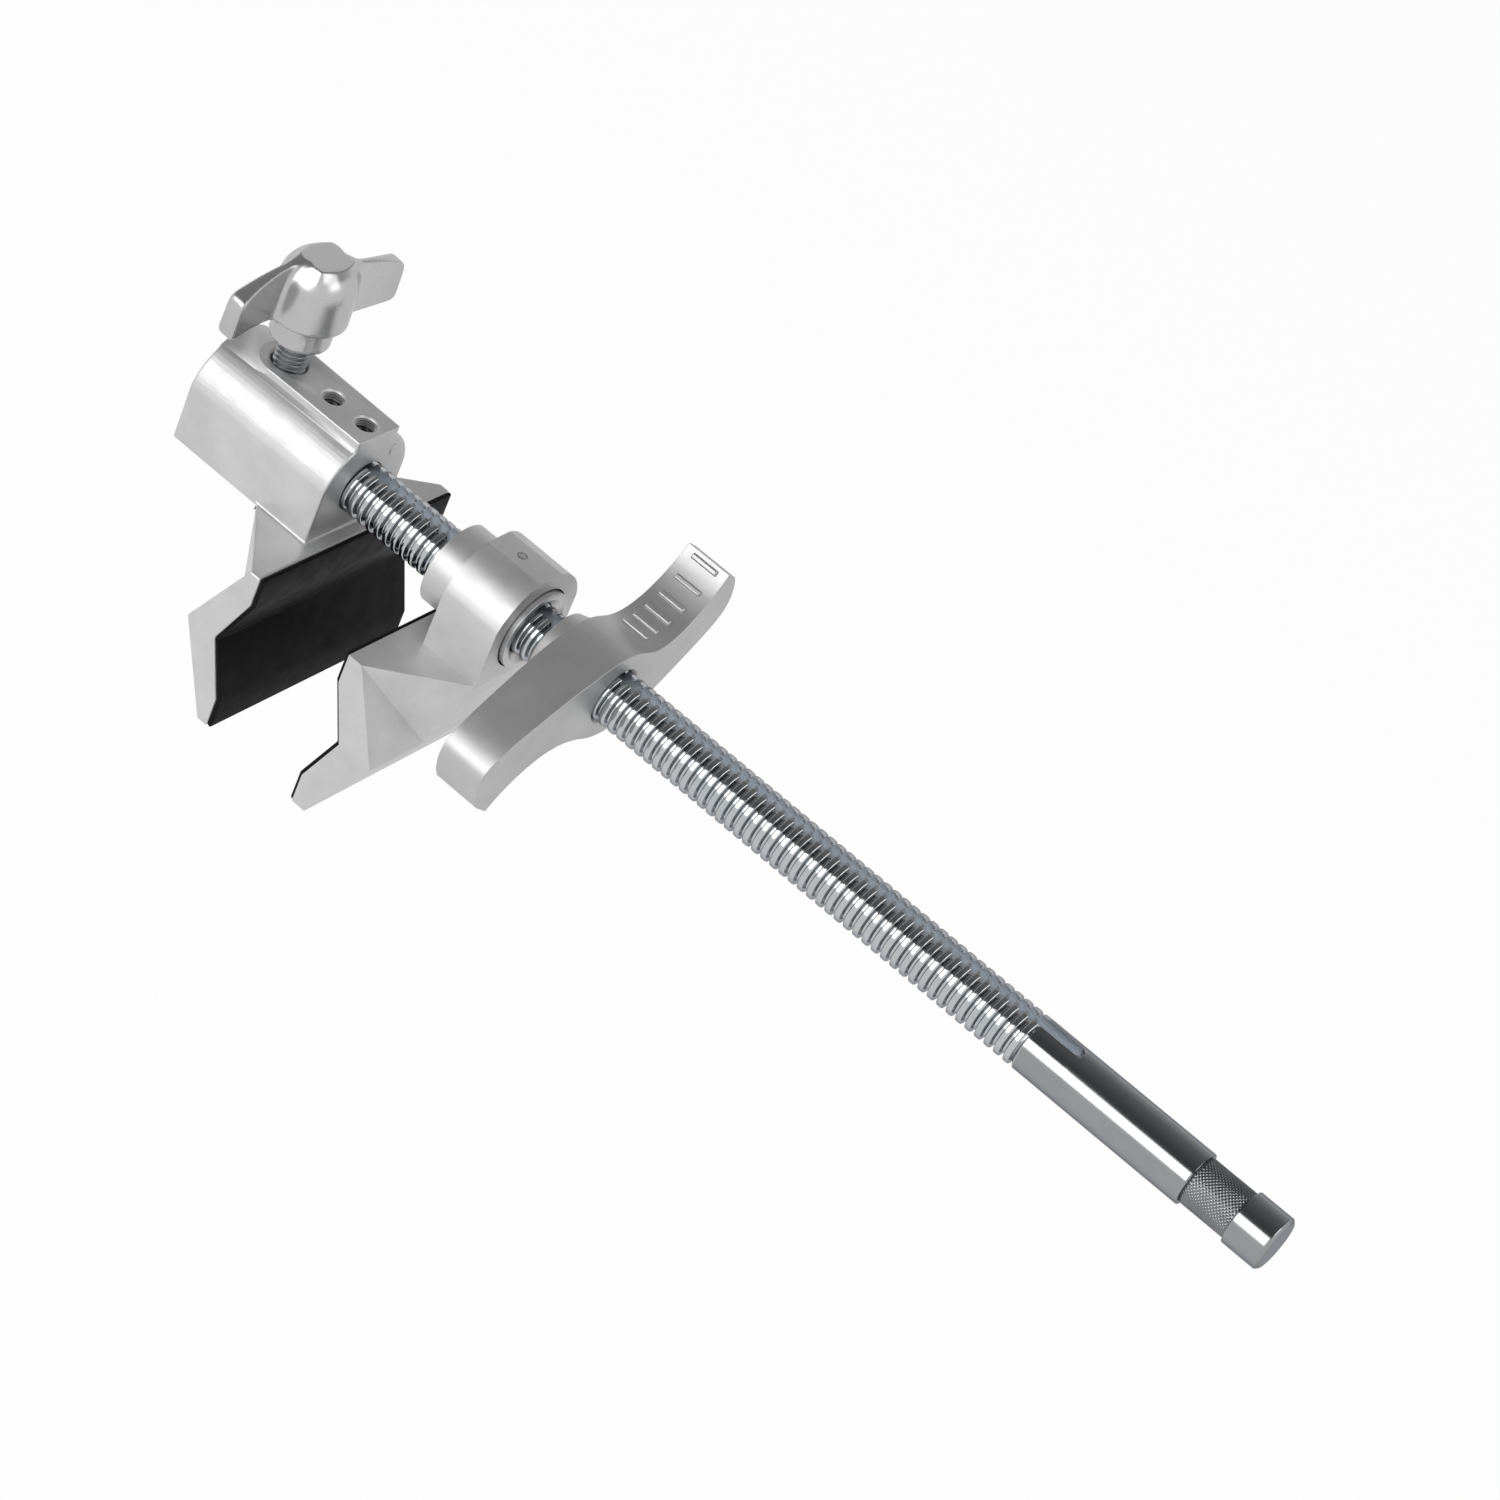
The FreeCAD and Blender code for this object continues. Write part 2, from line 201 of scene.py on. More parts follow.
def rod_steel(name):
    m = plated_steel(name, ((0.92, 0.95, 0.96), (1.0, 1.0, 1.0)), (0.11, 0.19))
    nt = m.node_tree
    bsdf = nt.nodes["Principled BSDF"]
    noise = bsdf.inputs["Base Color"].links[0].from_socket
    rough = bsdf.inputs["Roughness"].links[0].from_socket
    x, y, z = object_axes(nt)
    start, end = ROD_SPAN
    place = math_node(nt, "DIVIDE", math_node(nt, "SUBTRACT", x, start * MM), (end - start) * MM)
    tone = ramp(nt, place, [((at - start) / (end - start), (g, g * ROD_GREEN, g * ROD_BLUE))
                            for at, g in ROD_TONES])
    tone.node.color_ramp.interpolation = "CONSTANT"
    both = add(nt, "ShaderNodeMixRGB", blend_type="MULTIPLY")
    both.inputs["Fac"].default_value = 1.0
    nt.links.new(tone, both.inputs["Color1"])
    nt.links.new(noise, both.inputs["Color2"])
    # painted shade: the keyway slot (narrow, upper, before the slot's end) takes a darker bluish grey
    narrow = math_node(nt, "LESS_THAN", math_node(nt, "ABSOLUTE", y, 0.0), KEY_TONE_HALF * MM)
    from_middle = math_node(nt, "ABSOLUTE", math_node(nt, "SUBTRACT", z, KEY_TONE_TOP / 2 * MM), 0.0)
    upper = math_node(nt, "LESS_THAN", from_middle, KEY_TONE_TOP / 2 * MM)
    before = math_node(nt, "LESS_THAN", x, KEY_TONE_END_X * MM)
    key = math_node(nt, "MULTIPLY", math_node(nt, "MULTIPLY", narrow, upper), before)
    nt.links.new(mixed(nt, key, both.outputs["Color"], KEY_PAINTED_SHADE), bsdf.inputs["Base Color"])
    nt.links.new(mixed(nt, key, rough, KEY_ROUGH), bsdf.inputs["Roughness"])
    return m


# The knob's flat top is lighter and rougher than its cast sides: the lighter colour is painted light on the
# up-facing top
KNOB_FACE_Z = 52.93
KNOB_TOP_PAINTED_LIGHT = (0.76, 0.76, 0.76, 1)
KNOB_FACE_ROUGH = (0.5, 0.5, 0.5, 1)


def knob_metal(name):
    m = cast_metal(name, (0.45, 0.51), (0.23, 0.29), metallic=0.85, grain=0.015, pits=0.06)
    nt = m.node_tree
    bsdf = nt.nodes["Principled BSDF"]
    col = bsdf.inputs["Base Color"].links[0].from_socket
    rough = bsdf.inputs["Roughness"].links[0].from_socket
    z = object_axes(nt)[2]
    # painted light: the flat top above KNOB_FACE_Z takes a lighter colour than the cast sides
    top = math_node(nt, "GREATER_THAN", z, KNOB_FACE_Z * MM)
    nt.links.new(mixed(nt, top, col, KNOB_TOP_PAINTED_LIGHT), bsdf.inputs["Base Color"])
    nt.links.new(mixed(nt, top, rough, KNOB_FACE_ROUGH), bsdf.inputs["Roughness"])
    return m


def rubber(name):
    m, nt, bsdf = new_material(name)
    col = ramp(nt, object_noise(nt, scale=120, detail=4, rough=0.6), [(0.3, 0.004), (0.75, 0.010)])
    nt.links.new(col, bsdf.inputs["Base Color"])
    patches = object_noise(nt, scale=220, detail=4, rough=0.6)
    nt.links.new(ramp(nt, patches, [(0.3, 0.42), (0.8, 0.6)]), bsdf.inputs["Roughness"])
    fine = object_noise(nt, scale=700, detail=3, rough=0.6)
    nt.links.new(bump(nt, fine, strength=0.12, distance=0.0001), bsdf.inputs["Normal"])
    bsdf.inputs["IOR"].default_value = 1.5
    bsdf.inputs["Specular IOR Level"].default_value = 0.06
    return m


MAT = {
    "cast_body": cast_metal("cast_body", (0.54, 0.62), (0.42, 0.52), metallic=0.78, grain=0.10, pits=0.35),
    "cast_nut": cast_metal("cast_nut", (0.45, 0.50), (0.40, 0.46), metallic=0.80, grain=0.04, pits=0.1),
    "cast_knob": knob_metal("cast_knob"),
    "ring_metal": cast_metal("ring_metal", (0.50, 0.56), (0.28, 0.36), grain=0.04, pits=0.05),
    "plated_steel": rod_steel("plated_steel"),
    "dark_screw": plated_steel("dark_screw", ((0.08, 0.08, 0.08), (0.18, 0.18, 0.18)), (0.25, 0.4)),
    "shoe_brass": plated_steel("shoe_brass", ((0.60, 0.45, 0.20), (0.74, 0.58, 0.30)), (0.3, 0.4)),
    "pad_rubber": rubber("pad_rubber"),
}
SLOT = {s["node"]: s["material_slot"] for s in frame["record"]["subparts"]}
for name, ob in NODES.items():
    ob.data.materials.clear()
    ob.data.materials.append(MAT[SLOT[name]])


# Mesh helpers

def piece(name, bm, node, mat=None, smooth=40, replace=True):
    me = bpy.data.meshes.new(name)
    bm.normal_update()
    bm.to_mesh(me)
    bm.free()
    ob = bpy.data.objects.new(name, me)
    bpy.context.scene.collection.objects.link(ob)
    me.materials.append(MAT[mat or SLOT[node]])
    me.shade_smooth()
    me.set_sharp_from_angle(angle=math.radians(smooth))
    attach(ob, NODES[node]["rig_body"])
    if replace:
        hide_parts(node)
    return ob


WELD = 2e-6
FLAT_ANGLE = 0.6
SHARP_ANGLE = 28
EDGE_SEGMENTS = 3


# Soft-edged copy of a node's solid. rule gives each sharp edge its radius in mm from the middle of the
# edge and whether the corner is an inner one. clamp keeps neighbouring rounds from overlapping
def rounded(node, rule, clamp=True):
    bm = bmesh.new()
    bm.from_mesh(NODES[node].data)
    bmesh.ops.remove_doubles(bm, verts=bm.verts, dist=WELD)
    bmesh.ops.dissolve_limit(bm, angle_limit=math.radians(FLAT_ANGLE), verts=bm.verts, edges=bm.edges)
    bm.normal_update()
    weight = bm.edges.layers.float.new("bevel_weight_edge")
    widest = 0.0
    sized = []
    for e in bm.edges:
        if len(e.link_faces) != 2 or e.calc_face_angle(0.0) < math.radians(SHARP_ANGLE):
            continue
        mid = (e.verts[0].co + e.verts[1].co) / 2 / MM
        r = rule(mid, e.calc_face_angle_signed(0.0) < 0)
        sized.append((e, r))
        widest = max(widest, r)
    for e, r in sized:
        e[weight] = r / widest
    ob = piece(node + "_soft", bm, node, smooth=30)
    bev = ob.modifiers.new("edges", "BEVEL")
    bev.width = widest * MM
    bev.segments = EDGE_SEGMENTS
    bev.limit_method = "WEIGHT"
    bev.harden_normals = True
    bev.use_clamp_overlap = clamp


# Quads between rows of points in mm
def skin(bm, rows, closed=False):
    made = [[bm.verts.new(Vector(p) * MM) for p in row] for row in rows]
    for a, b in zip(made, made[1:]):
        n = len(a)
        for j in range(n if closed else n - 1):
            k = (j + 1) % n
            bm.faces.new((a[j], a[k], b[k], b[j]))
    return made


# Turned surface. profile is a list of (place along the axis, radius); centre moves an upright axis
def turned(bm, profile, segments=96, centre=(0, 0), axis="X"):
    rows = []
    for s, r in profile:
        row = []
        for j in range(segments):
            t = math.tau * j / segments
            if axis == "X":
                row.append((s, r * math.sin(t), r * math.cos(t)))
            else:
                row.append((centre[0] + r * math.cos(t), centre[1] + r * math.sin(t), s))
        rows.append(row)
    return skin(bm, rows, closed=True)


ROD_R = 7.9375
PITCH = 3.175
KEY_HALF = 2.0
KEY_FLOOR = ROD_R - 2.0
ROD_TAIL_X = -335.4
THREAD_END_X = -73.6
SLOT_END_X = -60.7
SHANK_END_X = -20.0
NECK_R = 6.8
COLLAR_X = -5.6
ROUND_STEPS = 44
LEAST_HALF = 1e-4
THREAD_RUNOUT = 1.3
SHANK_SEAM = 0.005
SLOT_END_ANGLES = (20, 40, 55, 68, 78, 85, 89.9)
EDGE_BREAK = 0.35
EDGE_SOFT = 0.1
COLLAR_UNDER = 0.3
TAIL_CHAMFER = (0.9, 1.0)
# radius of the pin hole left in the middle of each turned end
CORE_R = 0.02
# Chamfer of the pin's end: distance in from the end face, and depth under the surface
PIN_END = ((1.2, 0.0), (0.9, 0.0), (0.75, 0.06), (0.1, 0.75), (0.0, 0.95), (0.0, 1.5))
PIN_FACE_R = 3.0

# One pitch of the thread: distance along the rod from a crest's middle, and depth under the crest
THREAD = ((-1.42, 1.38), (-1.24, 1.32), (-1.12, 1.10), (-0.90, 0.32), (-0.80, 0.12), (-0.62, 0.02),
          (0.0, 0.0), (0.62, 0.02), (0.80, 0.12), (0.90, 0.32), (1.12, 1.10), (1.24, 1.32), (1.42, 1.38))


# Section of the rod with its keyway, as (angle from +Z, point) pairs in order round the rod
def keyed_section(r, half):
    half = max(half, LEAST_HALF)
    edge = math.asin(half / r)
    top = r * math.cos(edge)
    floor = min(KEY_FLOOR, top)
    out = [(0.0, (0.0, floor)), (edge, (half, floor))]
    for j in range(ROUND_STEPS + 1):
        t = edge + (math.tau - 2 * edge) * j / ROUND_STEPS
        out.append((t, (r * math.sin(t), r * math.cos(t))))
    out += [(math.tau - edge, (-half, floor)), (math.tau, (0.0, floor))]
    return out


# Helical rows of (angle, place along the axis, radius) from x0 to x1, fading out over runout at x1
def thread_rows(x0, x1, r, pitch, profile, angles, runout):
    rows = []
    turns = int((x1 - x0) / pitch) + 3
    for k in range(-2, turns):
        for dx, depth in profile:
            row = []
            for t in angles:
                x = x0 + k * pitch + dx + pitch * t / math.tau
                xc = min(max(x, x0), x1)
                d = depth * min(1.0, max(0.0, (x1 - xc) / runout))
                row.append((t, xc, r - d))
            rows.append(row)
    return rows


# Broken edge of a turned end at x; way is +1 where the end faces +X and -1 where it faces -X
def broken_edge(x, way):
    out = [(x - way * 2 * EDGE_BREAK, ROD_R), (x - way * EDGE_BREAK, ROD_R),
           (x - way * EDGE_SOFT, ROD_R - EDGE_SOFT), (x, ROD_R - EDGE_BREAK)]
    return out if way > 0 else out[::-1]


def make_rod():
    bm = bmesh.new()
    angles = [t for t, _ in keyed_section(ROD_R, KEY_HALF)]
    rows = []
    for row in thread_rows(ROD_TAIL_X, THREAD_END_X, ROD_R, PITCH, THREAD, angles, THREAD_RUNOUT):
        line = []
        for j, (_, x, r) in enumerate(row):
            y, z = keyed_section(r, KEY_HALF)[j][1]
            line.append((x, y, z))
        rows.append(line)
    skin(bm, rows)
    bmesh.ops.remove_doubles(bm, verts=bm.verts, dist=WELD)
    # smooth shank with the keyway's round end
    shank = []
    round_x = SLOT_END_X - KEY_HALF
    steps = [(THREAD_END_X, KEY_HALF), (round_x - 0.05, KEY_HALF), (round_x, KEY_HALF)]
    for a in SLOT_END_ANGLES:
        s = math.radians(a)
        steps.append((round_x + KEY_HALF * math.sin(s), KEY_HALF * math.cos(s)))
    for x, half in steps:
        shank.append([(x, y, z) for _, (y, z) in keyed_section(ROD_R, half)])
    skin(bm, shank)
    turned(bm, [(SLOT_END_X - SHANK_SEAM, ROD_R)] + broken_edge(SHANK_END_X, 1)
           + [(SHANK_END_X, NECK_R - COLLAR_UNDER)])
    end = -COLLAR_X
    turned(bm, [(COLLAR_X, NECK_R - COLLAR_UNDER)] + broken_edge(COLLAR_X, -1)
           + [(end - inside, ROD_R - under) for inside, under in PIN_END] + [(end, PIN_FACE_R), (end, CORE_R)])
    long, deep = TAIL_CHAMFER
    turned(bm, [(ROD_TAIL_X, CORE_R), (ROD_TAIL_X, ROD_R - deep), (ROD_TAIL_X + long, ROD_R)])
    piece("rod_threaded", bm, "threaded_rod", smooth=38)


# Diamond knurl on the pin's neck
KNURL_AROUND = 240
KNURL_TEETH = 40
KNURL_HEIGHT = 0.42
KNURL_STEP = 0.178
KNURL_SINK = 0.12
KNURL_FLAT = 0.8
KNURL_FADE = 3


def make_knurl():
    bm = bmesh.new()
    x0, x1 = SHANK_END_X, COLLAR_X
    n = int((x1 - x0) / KNURL_STEP)
    rows = []
    lead = math.tau * NECK_R / KNURL_TEETH
    for i in range(n + 1):
        x = x0 + (x1 - x0) * i / n
        fade = min(1.0, min(i, n - i) / KNURL_FADE)
        row = []
        for j in range(KNURL_AROUND):
            t = math.tau * j / KNURL_AROUND
            u = (t * KNURL_TEETH / math.tau + x / lead) % 1.0
            v = (t * KNURL_TEETH / math.tau - x / lead) % 1.0
            peak = min(u, 1 - u, v, 1 - v) * 2
            r = NECK_R - KNURL_SINK + KNURL_HEIGHT * min(peak, KNURL_FLAT) * fade
            row.append((x, r * math.sin(t), r * math.cos(t)))
        rows.append(row)
    skin(bm, rows, closed=True)
    piece("pin_knurl", bm, "threaded_rod", smooth=60, replace=False)


# Thread of the lock stud, about an upright axis
LOCK_X = -345.6
STUD_R = 4.8
STUD_PITCH = 1.5
STUD_LOW = 10.75
STUD_THREAD_TOP = 27.0
STUD_TOP = 41.4
STUD_SIDES = 40
STUD_RUNOUT = 1.0
STUD_TIP = ((0.0, 3.6), (0.5, 4.3))
STUD_THREAD = ((-0.62, 0.88), (-0.5, 0.78), (-0.12, 0.04), (0.0, 0.0), (0.12, 0.04), (0.5, 0.78),
               (0.62, 0.88))


def make_stud():
    bm = bmesh.new()
    angles = [math.tau * j / STUD_SIDES for j in range(STUD_SIDES + 1)]
    rows = []
    for row in thread_rows(STUD_LOW, STUD_THREAD_TOP, STUD_R, STUD_PITCH, STUD_THREAD, angles,
                           STUD_RUNOUT):
        rows.append([(LOCK_X + r * math.cos(t), r * math.sin(t), z) for t, z, r in row])
    skin(bm, rows)
    bmesh.ops.remove_doubles(bm, verts=bm.verts, dist=WELD)
    tip = [(STUD_LOW, CORE_R)] + [(STUD_LOW + up, r) for up, r in STUD_TIP]
    head = [(STUD_THREAD_TOP, STUD_R), (STUD_TOP, STUD_R), (STUD_TOP, CORE_R)]
    for profile in (tip, head):
        turned(bm, profile, STUD_SIDES, (LOCK_X, 0), "Z")
    piece("stud_threaded", bm, "lock_stud", smooth=30)


# Thread turns that show inside the two set screw holes: depth under the turn's start, and radius
SCREW_X = (-316.8, -328.9)
BOSS_TOP = 17.9
HOLE_SIDES = 36
HOLE_FIRST = 0.7
HOLE_LAST = 3.2
HOLE_PITCH = 0.8
HOLE_TURN = ((0.0, 3.03), (0.22, 3.03), (0.42, 2.72), (0.58, 2.72))


def make_hole_threads():
    bm = bmesh.new()
    for x in SCREW_X:
        z = BOSS_TOP - HOLE_FIRST
        profile = []
        while z > BOSS_TOP - HOLE_LAST:
            profile += [(z - down, r) for down, r in HOLE_TURN]
            z -= HOLE_PITCH
        turned(bm, profile, HOLE_SIDES, (x, 0), "Z")
    piece("set_hole_threads", bm, "fixed_jaw", mat="ring_metal", smooth=30, replace=False)


# Wing nut: the CAD outline, with raised ribs on both hollow faces
NUT_MID_X = -227.6
RIB_AT = (38.2, 33.6, 28.8, 24.0, 19.4, 15.0)
RIB_LIFT = (0.9, 0.9, 0.85, 0.8, 0.7, 0.6)
RIB_HALF_LONG = 4.4
RIB_HALF_WIDE = 0.85
RIB_ROOT = -0.9
RIB_SHOULDER = 0.45
RIB_INSET = 0.3
RIB_EDGE = 0.2
SLOPE_STEP = 0.4
RAY_START_Z = 60.0


# Height of the wing's hollow upper face over a point across the rod
def wing_height(tree, y):
    hit = tree.ray_cast(Vector((NUT_MID_X, y, RAY_START_Z)) * MM, Vector((0, 0, -1)))
    return hit[0].z / MM


def make_ribs():
    tree = BVHTree.FromObject(NODES["wing_nut"], bpy.context.evaluated_depsgraph_get())
    bm = bmesh.new()
    for side in (1, -1):
        for y, high in zip(RIB_AT, RIB_LIFT):
            z = wing_height(tree, y)
            rise = wing_height(tree, y + SLOPE_STEP) - wing_height(tree, y - SLOPE_STEP)
            slope = rise / (2 * SLOPE_STEP)
            t = Vector((0, 1, slope)).normalized()
            n = Vector((0, -t.z, t.y))
            c = Vector((NUT_MID_X, y, z))
            ring = []
            for lift, inset in ((RIB_ROOT, 0.0), (high * RIB_SHOULDER, 0.0), (high, RIB_INSET)):
                row = []
                for sx, sy in ((-1, -1), (1, -1), (1, 1), (-1, 1)):
                    p = c + Vector((sx * (RIB_HALF_LONG - inset), 0, 0))
                    p += t * (sy * (RIB_HALF_WIDE - inset)) + n * lift
                    row.append((p.x, side * p.y, side * p.z))
                ring.append(row)
            made = skin(bm, ring, closed=True)
            bm.faces.new(made[-1])
    bmesh.ops.recalc_face_normals(bm, faces=bm.faces)
    ob = piece("wing_ribs", bm, "wing_nut", smooth=30, replace=False)
    bev = ob.modifiers.new("edges", "BEVEL")
    bev.width = RIB_EDGE * MM
    bev.segments = 2


# Key pin with a groove round its flush head
PIN_R = 1.45
PIN_HEAD_R = 1.0
PIN_GROOVE = 0.5
PIN_HEAD_EDGE = (0.2, 0.15)
PIN_DROP = 0.02
PIN_SIDES = 48


def make_key_pin():
    corners = [v.co / MM for v in NODES["key_pin"].data.vertices]
    low, top = min(c.z for c in corners), max(c.z for c in corners)
    middle = (min(c.x for c in corners) + max(c.x for c in corners)) / 2
    bm = bmesh.new()
    wide, deep = PIN_HEAD_EDGE
    turned(bm, [(low, CORE_R), (low, PIN_R), (top - PIN_GROOVE, PIN_R), (top - PIN_GROOVE, PIN_HEAD_R),
                (top - deep, PIN_HEAD_R), (top - PIN_DROP, PIN_HEAD_R - wide), (top - PIN_DROP, CORE_R)],
           PIN_SIDES, (middle, 0), "Z")
    bmesh.ops.recalc_face_normals(bm, faces=bm.faces)
    piece("key_pin_grooved", bm, "key_pin", mat="ring_metal", smooth=30)


# Small curved casting mark on the fixed jaw's front face
MARK_X = -311.6
MARK_AT = (10.0, 9.0)
MARK_R = 2.0
MARK_HALF = 0.32
MARK_ARC = (60, 230)
MARK_STEPS = 18
MARK_SIDES = 8
MARK_SINK = 0.05
MARK_BULGE = 1.2
# blunts the mark's two ends, in steps
MARK_BLUNT = 0.3


def make_cast_mark():
    bm = bmesh.new()
    rows = []
    for i in range(MARK_STEPS + 1):
        t = math.radians(MARK_ARC[0] + (MARK_ARC[1] - MARK_ARC[0]) * i / MARK_STEPS)
        wide = MARK_HALF * math.sin(math.pi * (i + MARK_BLUNT) / (MARK_STEPS + 2 * MARK_BLUNT))
        row = []
        for j in range(MARK_SIDES + 1):
            a = math.pi * j / MARK_SIDES
            r = MARK_R + wide * math.cos(a)
            row.append((MARK_X - MARK_SINK + MARK_BULGE * wide * math.sin(a), MARK_AT[0] + r * math.cos(t),
                        MARK_AT[1] + r * math.sin(t)))
        rows.append(row)
    skin(bm, rows)
    bmesh.ops.recalc_face_normals(bm, faces=bm.faces)
    piece("cast_mark", bm, "fixed_jaw", replace=False)


# Lock knob as a field of distances in mm, so that hub and wings flow into one another.
# Positions are about the lock screw's axis; height is above z = 0
KNOB_TURN = 4.0
KNOB_LOW = 26.4
KNOB_TOP = 53.0
KNOB_CELL = 0.4
KNOB_HALF_X = 16.0
KNOB_HALF_Y = 33.0
KNOB_SMOOTHING = 2
KNOB_BLEND = 2.8
KNOB_EDGE = 1.3
HUB_PROFILE = ((26.4, 8.2), (26.9, 8.6), (33.7, 8.6), (33.9, 10.5), (34.7, 11.2), (39.0, 11.1), (43.8, 10.9))
DOME_Z = 43.8
DOME_R = 10.9
WING_SIDE = ((-6.0, 33.3), (28.6, 33.2), (29.8, 34.4), (29.4, 44.6), (28.5, 46.4), (24.0, 48.3), (17.0, 50.5),
             (8.0, 52.4), (-6.0, 55.0))
WING_OUTER = 4.4
WING_THIN = 2.4
WING_FLARE = 3.2
WING_ROOT = 8.0
WING_LONG = 20.5


def hub_field(x, y, z):
    rho = np.sqrt(x * x + y * y)
    heights = [h for h, _ in HUB_PROFILE]
    radii = [r for _, r in HUB_PROFILE]
    side = rho - np.interp(z, heights, radii)
    dome = np.sqrt(rho * rho + (z - DOME_Z) ** 2) - DOME_R
    return np.maximum(np.where(z > DOME_Z, dome, side), np.maximum(KNOB_LOW - z, z - KNOB_TOP))


# Flat on its outer face, hollow on its inner one, thick at the tip
def wing_field(x, y, z, sign):
    out_x, along = sign * x, sign * y
    thick = WING_THIN + WING_FLARE * (np.maximum(along - WING_ROOT, 0) / WING_LONG) ** 2
    out = smooth_max(out_x - WING_OUTER, WING_OUTER - thick - out_x, KNOB_EDGE)
    n = len(WING_SIDE)
    for i in range(n):
        ay, az = WING_SIDE[i]
        by, bz = WING_SIDE[(i + 1) % n]
        length = math.hypot(by - ay, bz - az)
        d = ((along - ay) * (bz - az) - (z - az) * (by - ay)) / length
        out = smooth_max(out, d, KNOB_EDGE)
    return out


# Larger of two fields, rounded over a width k where they meet
def smooth_max(a, b, k):
    h = np.maximum(k - np.abs(a - b), 0.0) / k
    return np.maximum(a, b) + h * h * k / 4


# Surface of a field sampled on a grid: one corner in each cell that the surface crosses, one quad
# at each grid edge that it crosses
def field_mesh(field, low, cell):
    inside = field < 0
    shape = [n - 1 for n in field.shape]
    total = np.zeros(shape + [3])
    count = np.zeros(shape)
    for axis in range(3):
        for u in (0, 1):
            for v in (0, 1):
                a = [slice(u, n - 1 + u) for n in field.shape]
                others = [k for k in range(3) if k != axis]
                a[others[1]] = slice(v, field.shape[others[1]] - 1 + v)
                a[axis] = slice(0, field.shape[axis] - 1)
                b = list(a)
                b[axis] = slice(1, field.shape[axis])
                fa, fb = field[tuple(a)], field[tuple(b)]
                cross = (fa < 0) != (fb < 0)
                t = np.where(cross, fa / np.where(cross, fa - fb, 1.0), 0.0)
                total[..., axis] += t
                total[..., others[0]] += cross * u
                total[..., others[1]] += cross * v
                count += cross
    cells = np.argwhere(count > 0)
    index = -np.ones(shape, dtype=int)
    index[tuple(cells.T)] = np.arange(len(cells))
    local = total[tuple(cells.T)] / count[tuple(cells.T)][:, None]
    points = (cells + local) * cell + np.array(low)
    faces = []
    for axis in range(3):
        o1, o2 = [(1, 2), (2, 0), (0, 1)][axis]
        a = [slice(None)] * 3
        b = [slice(None)] * 3
        a[axis] = slice(0, -1)
        b[axis] = slice(1, None)
        change = inside[tuple(a)].astype(int) - inside[tuple(b)].astype(int)
        for at in np.argwhere(change != 0):
            if at[o1] == 0 or at[o2] == 0 or at[o1] >= shape[o1] or at[o2] >= shape[o2]:
                continue
            quad = []
            for d1, d2 in ((1, 1), (0, 1), (0, 0), (1, 0)):
                c = list(at)
                c[o1] -= d1
                c[o2] -= d2
                quad.append(int(index[tuple(c)]))
            faces.append(quad if change[tuple(at)] > 0 else quad[::-1])
    return points, faces


def make_knob():
    low = (-KNOB_HALF_X, -KNOB_HALF_Y, KNOB_LOW - 2 * KNOB_CELL)
    counts = [int(2 * KNOB_HALF_X / KNOB_CELL) + 1, int(2 * KNOB_HALF_Y / KNOB_CELL) + 1,
              int((KNOB_TOP - KNOB_LOW) / KNOB_CELL) + 6]
    axes = [low[i] + KNOB_CELL * np.arange(counts[i]) for i in range(3)]
    x, y, z = np.meshgrid(*axes, indexing="ij")
    field = hub_field(x, y, z)
    for sign in (1, -1):
        wing = wing_field(x, y, z, sign)
        h = np.maximum(KNOB_BLEND - np.abs(field - wing), 0.0) / KNOB_BLEND
        field = np.minimum(field, wing) - h * h * KNOB_BLEND / 4
    # top and underside stay flat
    field = np.maximum(field, z - KNOB_TOP)
    field = np.maximum(field, KNOB_LOW - z)
    points, faces = field_mesh(field, low, KNOB_CELL)
    turn = math.radians(-KNOB_TURN)
    c, s = math.cos(turn), math.sin(turn)
    bm = bmesh.new()
    verts = [bm.verts.new(Vector((LOCK_X + c * p[0] - s * p[1], s * p[0] + c * p[1], p[2])) * MM)
             for p in points]
    for f in faces:
        bm.faces.new([verts[i] for i in f])
    for _ in range(KNOB_SMOOTHING):
        bmesh.ops.smooth_vert(bm, verts=bm.verts, factor=0.5, use_axis_x=True, use_axis_y=True,
                              use_axis_z=True)
    bmesh.ops.recalc_face_normals(bm, faces=bm.faces)
    piece("lock_knob_cast", bm, "lock_knob", smooth=75)


make_rod()
make_knurl()
make_stud()
make_hole_threads()
make_ribs()
make_key_pin()
make_cast_mark()
make_knob()


# Radii of the castings' edges in mm: machined edges, plates, outer corners and coves
MACHINED_EDGE = 0.25
PLATE_EDGE = 0.5
NUT_EDGE = 0.9
PAD_EDGE = 0.45
FIXED_EDGE = 0.8
FIXED_COVE = 0.8
FIXED_TOP_COVE = 1.3
MOVING_EDGE = 1.2
MOVING_COVE = 0.9
PLATE_TOP_Z = -14
BORE_ZONE_R = 9
# the rail's round end behind the lock screw stays sharp
RAIL_END_X = LOCK_X + 4
RAIL_END_HALF = 9.5
RAIL_END_LOW_Z = 10
RAIL_HALF = 6.5
RAIL_LOW_Z = 12
TOP_COVE_LOW_Z = 5
COUNTERBORE_ZONE_R = 13.2
COUNTERBORE_X = -255
PIN_ZONE_HALF = 2
PIN_ZONE_LOW_Z = 15
NUT_BORE_ZONE_R = 10
NUT_BORE_EDGE = 0.3


def fixed_rule(p, inner):
    if p.x < RAIL_END_X and abs(p.y) < RAIL_END_HALF and p.z > RAIL_END_LOW_Z:
        return 0.0
    if abs(p.y) < RAIL_HALF and p.z > RAIL_LOW_Z or math.hypot(p.y, p.z) < BORE_ZONE_R:
        return MACHINED_EDGE
    if inner:
        return FIXED_TOP_COVE if p.z > TOP_COVE_LOW_Z else FIXED_COVE
    return PLATE_EDGE if p.z < PLATE_TOP_Z else FIXED_EDGE


